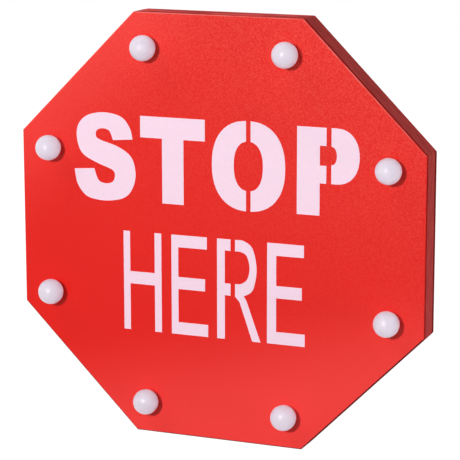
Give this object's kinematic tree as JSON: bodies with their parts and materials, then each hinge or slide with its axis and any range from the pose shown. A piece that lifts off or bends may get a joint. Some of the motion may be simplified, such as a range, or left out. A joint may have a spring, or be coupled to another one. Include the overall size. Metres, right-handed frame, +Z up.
{
  "type": "led stop sign",
  "caption": "Octagonal red box sign with white stencil words, frosted ball lamps round its rim, and a battery compartment with a hinged lid and a slide switch at the back.",
  "frame": {"origin": "middle of the bottom side, half way through the box's depth", "axes": "+Z up, -Y the way the face looks, +X to the right of someone who reads the face"},
  "size_m": [0.3, 0.0409, 0.3],
  "materials": {
    "red_lacquer": "satin sprayed lacquer on fibreboard",
    "frosted_globe": "frosted",
    "led_epoxy": "diffused",
    "natural_nylon": "moulded",
    "black_abs": "moulded, spark-eroded grain",
    "cell_can": "plain lacquered",
    "nickel_steel": "nickel plated",
    "zinc_screw": "zinc plated",
    "red_pvc": "extruded",
    "black_pvc": "extruded",
    "phenolic_board": "pressed",
    "white_film": "cut self-adhesive film"
  },
  "bodies": {
    "sign": {"face_board": "red_lacquer", "back_board": "red_lacquer", "rail_right": "red_lacquer", "rail_upper_right": "red_lacquer", "rail_top": "red_lacquer", "rail_upper_left": "red_lacquer", "rail_left": "red_lacquer", "rail_lower_left": "red_lacquer", "rail_bottom": "red_lacquer", "rail_lower_right": "red_lacquer", "globe_1": "frosted_globe", "globe_2": "frosted_globe", "globe_3": "frosted_globe", "globe_4": "frosted_globe", "globe_5": "frosted_globe", "globe_6": "frosted_globe", "globe_7": "frosted_globe", "globe_8": "frosted_globe", "led_1": "led_epoxy", "led_2": "led_epoxy", "led_3": "led_epoxy", "led_4": "led_epoxy", "led_5": "led_epoxy", "led_6": "led_epoxy", "led_7": "led_epoxy", "led_8": "led_epoxy", "lamp_cap_1": "natural_nylon", "lamp_cap_2": "natural_nylon", "lamp_cap_3": "natural_nylon", "lamp_cap_4": "natural_nylon", "lamp_cap_5": "natural_nylon", "lamp_cap_6": "natural_nylon", "lamp_cap_7": "natural_nylon", "lamp_cap_8": "natural_nylon", "positive_wire": "red_pvc", "negative_wire": "black_pvc", "switch_lead": "red_pvc", "battery_box": "black_abs", "cell_upper": "cell_can", "cell_lower": "cell_can", "spring_upper": "nickel_steel", "spring_lower": "nickel_steel", "bridge_contact": "nickel_steel", "plus_contact": "nickel_steel", "minus_contact": "nickel_steel", "switch_frame": "nickel_steel", "switch_base": "phenolic_board", "switch_screws": "zinc_screw", "box_screws": "zinc_screw", "board_screws": "zinc_screw"},
    "lid": {"battery_lid": "black_abs"},
    "slider": {"switch_slider": "black_abs"}
  },
  "joints": [
    {"name": "lid_hinge", "type": "hinge", "parent": "sign", "child": "lid", "pos_m": [0.01, 0.0106, 0.063], "axis": [-1, 0, 0], "range_deg": [0, 95]},
    {"name": "switch_slide", "type": "slide", "parent": "sign", "child": "slider", "axis": [0, 0, 1], "range_m": [0, 0.0035]}
  ]
}
